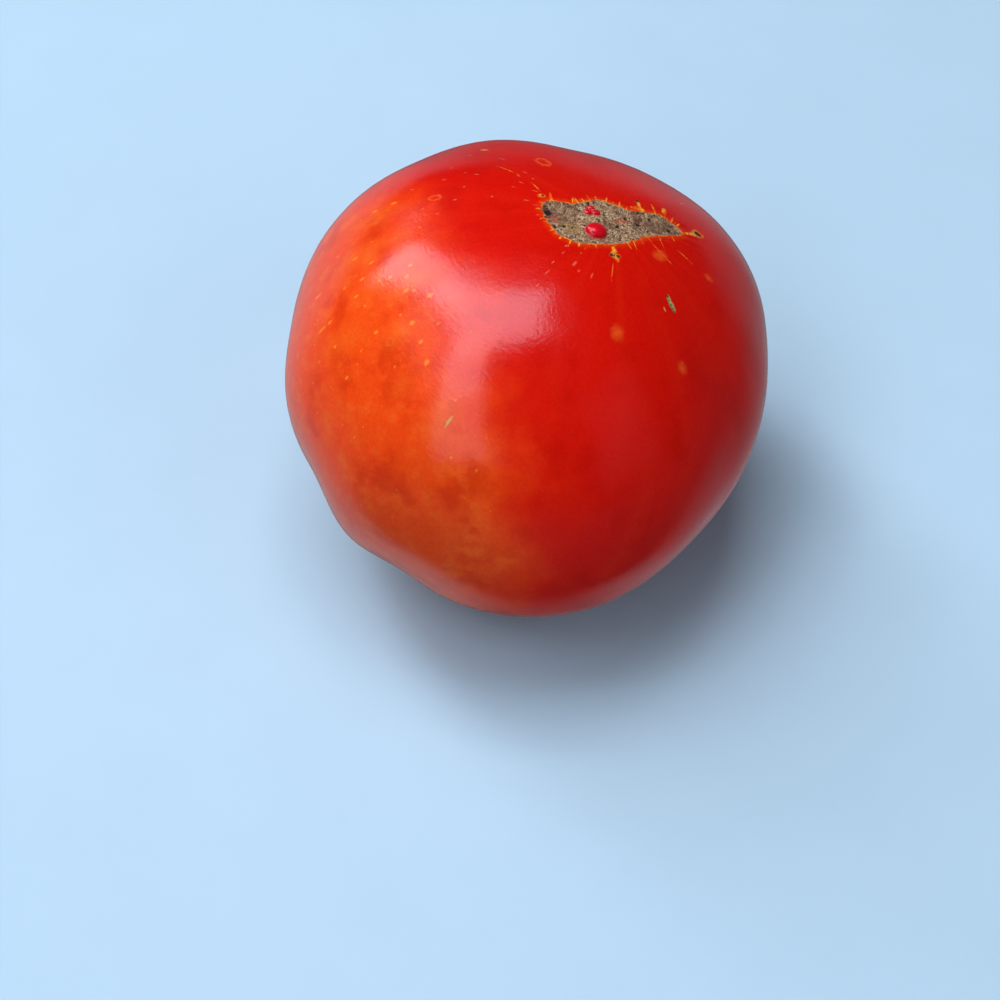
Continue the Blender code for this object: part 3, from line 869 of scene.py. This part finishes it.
studio = {
    "boardColour": "#AEC6D0",
    "boardRadius": 2.0,
    "boardSides": 96,
    "sweep": [(0.25, 0.02), (0.20, 0.08), (0.15, 0.16), (0.10, 0.30), (0.02, 0.60)],     # outwards and up
    "smoothAngle": 40,           # steeper edges of it stay sharp
    "boardWash": (0.97, 1.03),   # its faint unevenness, and how many millimetres wide that is
    "washSize": 25.0,
    "boardRoughness": 0.9,
    "roomColour": "#DCE8F6",
    "roomStrength": 0.03,
    "lowGlow": [                 # from left to right
        (0.0, 0.20), (0.12, 0.65), (0.35, 0.52), (0.47, 0.12), (0.56, 0.14), (0.66, 0.38),
        (0.87, 0.24), (0.95, 0.03),
    ],
    "glowFadesUp": (0.10, -0.06),          # heights where it has gone and where it is full, from -1 to 1
    "glowFadesForwards": (-0.25, 0.05),    # the same, from front to back
    "lightColour": "#E6EEFF",
    "fruitMiddle": (0.0, 0.0, 0.045),
    "softboxDistance": 1.3,
    "softboxes": [               # name, degrees right and back at each end, width, brightness
        ("overheadSoftbox", (-27, 5), (10.5, 5), 0.56, 8.2),
        ("backSoftbox", (-22, 14), (-44, 50), 0.35, 7.2),
        ("frontSoftbox", (-22, -6), (-25, -30), 0.46, 5.5),
        ("lowFrontSoftbox", (-25, -30), (-26, -64), 0.58, 2.4),
        ("leftGlow", (-36, -20), (-36, 12), 0.30, 1.3),
        ("fill", (30, -50), (62, -20), 1.1, 1.35),
    ],
    "notMirrored": ["fill"],     # kept out of the skin's reflections, like the board
}

bpy.ops.object.select_all(action="DESELECT")
bpy.ops.mesh.primitive_circle_add(
    vertices=studio["boardSides"], radius=studio["boardRadius"], fill_type="NGON"
)
floor = bpy.context.active_object
floor.name = "paleFloor"
bpy.ops.object.mode_set(mode="EDIT")
bpy.ops.mesh.select_all(action="SELECT")
bpy.ops.mesh.select_mode(type="EDGE")
bpy.ops.mesh.region_to_loop()
reach = studio["boardRadius"]
for outwards, upwards in studio["sweep"]:        # the board bends up all round, as a studio sweep does
    bpy.ops.mesh.extrude_region_move(TRANSFORM_OT_translate={"value": (0.0, 0.0, upwards)})
    grow = (reach + outwards) / reach
    bpy.ops.transform.resize(value=(grow, grow, 1.0), center_override=(0.0, 0.0, 0.0))
    reach += outwards
bpy.ops.object.mode_set(mode="OBJECT")
bpy.ops.object.shade_smooth_by_angle(angle=math.radians(studio["smoothAngle"]))
floor.visible_glossy = False      # the skin mirrors the dim room round the board, not the board itself

# Matt painted board: one pale colour with a faint unevenness, no gloss to speak of
board, tree, shader = newMaterial("mattPaleBoard")
coords = addNode(tree, "TexCoord", out="Object")
washScale = perMetre / studio["washSize"]
washClouds = addNode(tree, "TexNoise", None, {"Vector": coords, "Scale": washScale, "Detail": 3.0})
darkest, palest = studio["boardWash"]
wash = addNode(tree, "MapRange", None, {"Value": washClouds, toMin: darkest, toMax: palest})
boardColour = addNode(tree, "VectorMath", {"operation": "SCALE"}, {
    0: colour(studio["boardColour"])[:3], "Scale": wash,
})
tree.links.new(boardColour, shader.inputs["Base Color"])
shader.inputs["Roughness"].default_value = studio["boardRoughness"]
floor.data.materials.append(board)

# Dim room: brighter low down to the left and right, as a wide pale floor would show in the skin
world = bpy.data.worlds.new("softRoom")
bpy.context.scene.world = world
world.use_nodes = True
tree = world.node_tree
background = tree.nodes["Background"]
lookTowards = addNode(tree, "TexCoord", out="Generated")
sideways, backwards, upwards = (
    addNode(tree, "SeparateXYZ", None, {0: lookTowards}, axis) for axis in "XYZ"
)
leftToRight = addNode(tree, "MapRange", None, {"Value": sideways, fromMin: -1.0})
glow = addNode(tree, "ValToRGB", None, {0: leftToRight}, stops=studio["lowGlow"])
for direction, (fadedOut, full) in [
    (upwards, studio["glowFadesUp"]), (backwards, studio["glowFadesForwards"]),
]:
    share = addNode(tree, "MapRange", smooth, {"Value": direction, fromMin: fadedOut, fromMax: full})
    glow = addNode(tree, "Math", multiply, {0: glow, 1: share})
strength = addNode(tree, "Math", add, {0: glow, 1: studio["roomStrength"]})
background.inputs["Color"].default_value = colour(studio["roomColour"])
tree.links.new(strength, background.inputs["Strength"])


def awayFromFruit(sideways, backwards):
    # degrees from straight overhead, to the right and to the back
    tilt, turn = math.radians(math.hypot(sideways, backwards)), math.atan2(backwards, sideways)
    return Vector((math.sin(tilt) * math.cos(turn), math.sin(tilt) * math.sin(turn), math.cos(tilt)))


for name, firstEnd, otherEnd, width, brightness in studio["softboxes"]:
    first = awayFromFruit(*firstEnd) * studio["softboxDistance"]
    other = awayFromFruit(*otherEnd) * studio["softboxDistance"]
    run = (other - first).normalized()
    middle = (first + other) / 2.0
    outwards = (middle - middle.dot(run) * run).normalized()
    bpy.ops.object.light_add(type="AREA", location=Vector(studio["fruitMiddle"]) + middle)
    softbox = bpy.context.active_object
    softbox.name = name
    softbox.rotation_mode = "QUATERNION"
    softbox.rotation_quaternion = Matrix((run, outwards.cross(run), outwards)).transposed().to_quaternion()
    softbox.visible_glossy = name not in studio["notMirrored"]
    softbox.data.shape = "RECTANGLE"
    softbox.data.color = colour(studio["lightColour"])[:3]
    softbox.data.size = (other - first).length
    softbox.data.size_y = width
    softbox.data.energy = brightness * math.pi * softbox.data.size * width
print("floor, room and lights made")


cameraView = {
    "location": (-0.0063, -0.3472, 0.4338),
    "lookDown": 51.3,            # degrees below the horizon
    "lens": 86.4,                # and the sensor's width, in millimetres
    "sensor": 36.0,
    "clipStart": 0.01,
}
tilt = math.radians(90 - cameraView["lookDown"])
bpy.ops.object.camera_add(location=cameraView["location"], rotation=(tilt, 0, 0))
camera = bpy.context.active_object
camera.data.lens = cameraView["lens"]
camera.data.sensor_width = cameraView["sensor"]
camera.data.clip_start = cameraView["clipStart"]
bpy.context.scene.camera = camera
bpy.context.scene.view_settings.view_transform = "Standard"
print("camera placed")
